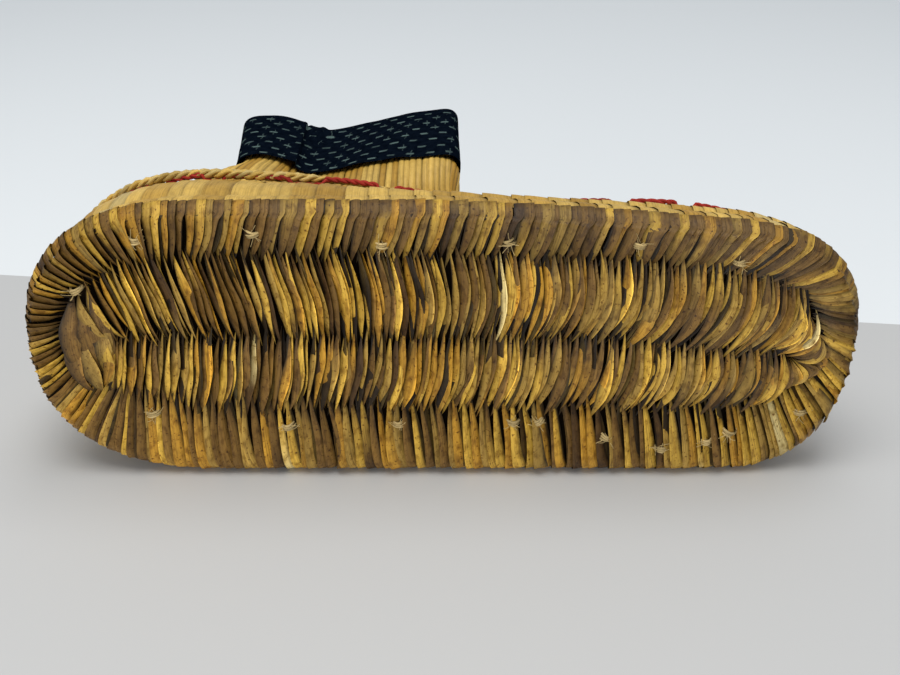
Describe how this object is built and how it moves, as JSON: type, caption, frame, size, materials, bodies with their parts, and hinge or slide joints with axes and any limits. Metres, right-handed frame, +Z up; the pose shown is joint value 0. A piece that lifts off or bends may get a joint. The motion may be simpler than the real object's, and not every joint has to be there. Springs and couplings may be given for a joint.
{
  "type": "straw snow boot",
  "caption": "Low snow boot woven of rice straw for the right foot, with a thick woven sole, a side wall, a short leg and a folded cotton band round its collar. It lies on its side.",
  "frame": {"origin": "centre of the bounding box at the floor, where the boot lies on its side", "axes": "+X from heel to toe, +Y from the tread to the collar, +Z up from the inner side of the boot, on the floor, to its outer side"},
  "size_m": [0.29, 0.1311, 0.106],
  "materials": {
    "sole_straw": "dry folded leaves, golden and grey-brown",
    "insole_straw": "dry woven straw",
    "upper_straw": "flat pale straw with fine fibre lines",
    "shaft_straw": "pale rounded straws",
    "collar_cotton": "dark indigo cotton with a pale ikat pattern",
    "braid_straw": "pale straw wraps with a twist of red yarn"
  },
  "bodies": {
    "root": {"sole": "sole_straw", "insole": "insole_straw", "upper": "upper_straw", "shaft": "shaft_straw", "collar_band": "collar_cotton", "rim_braid": "braid_straw"}
  },
  "joints": []
}
